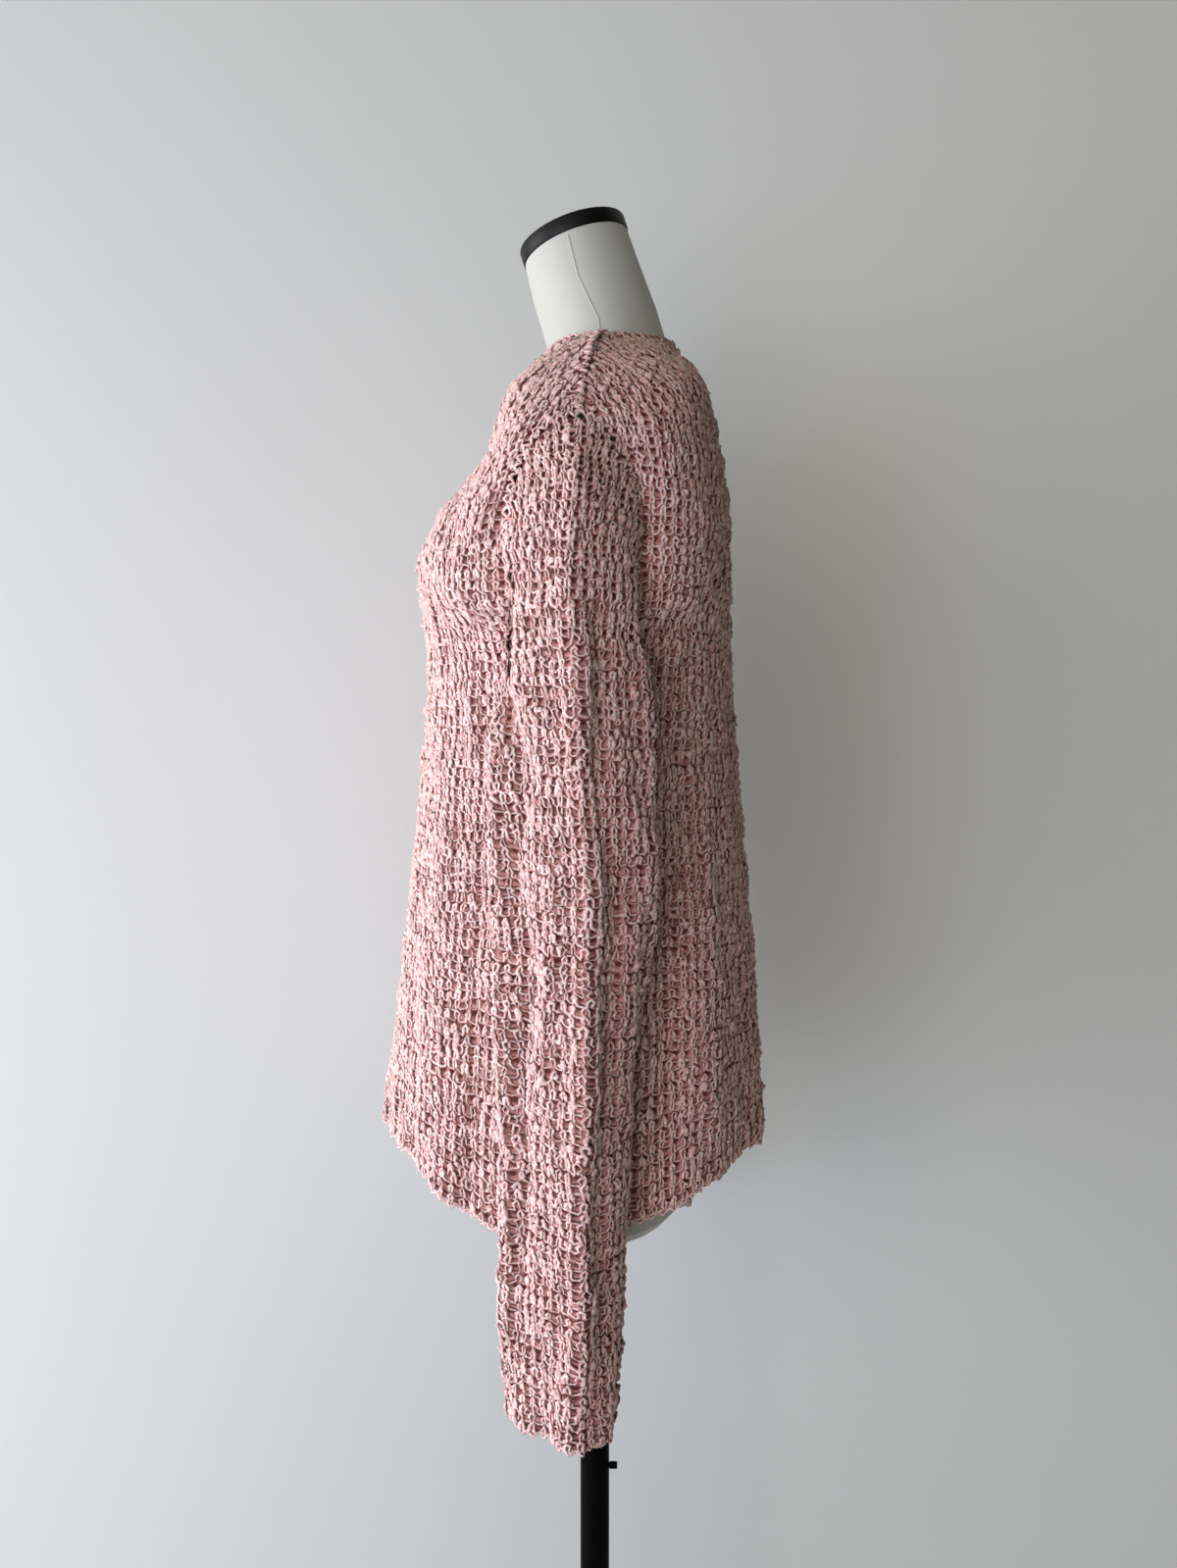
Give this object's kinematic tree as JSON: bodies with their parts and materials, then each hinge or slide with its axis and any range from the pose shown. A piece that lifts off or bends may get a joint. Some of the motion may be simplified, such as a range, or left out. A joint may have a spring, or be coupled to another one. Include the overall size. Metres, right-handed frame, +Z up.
{
  "type": "ribbed sweater on a limbless dress form",
  "caption": "Open ribbed pink knit sweater with long hanging sleeves, worn on a limbless dress form with a sloping neck cap, on a height-adjustable pole with a round base.",
  "frame": {"origin": "on the floor, at the middle of the base's flat underside, on the pole's axis", "axes": "+Z up along the pole, the garment's front faces -Y, the wearer's left is +X"},
  "size_m": [0.4994, 0.3255, 1.4899],
  "materials": {
    "knit": "pale pink slub cotton yarn, open chunky rib knit, matt and slightly fuzzy",
    "form_cover": "smooth off-white stretch jersey over a hard shell",
    "cap": "moulded black plastic, satin",
    "steel": "black powder-coated steel, satin"
  },
  "bodies": {
    "stand": {"base": "steel", "outer_tube": "steel", "clamp_screw": "steel"},
    "pole": {"inner_tube": "steel"},
    "torso": {"form": "form_cover", "neck_cap": "cap", "front": "knit", "back": "knit", "sleeve_left": "knit", "sleeve_right": "knit"}
  },
  "joints": [
    {"name": "height", "type": "slide", "parent": "stand", "child": "pole", "axis": [0, 0, 1], "range_m": [-0.15, 0.2]},
    {"name": "turn", "type": "hinge", "parent": "pole", "child": "torso", "pos_m": [0, 0, 0.687], "axis": [0, 0, 1], "continuous": true}
  ]
}
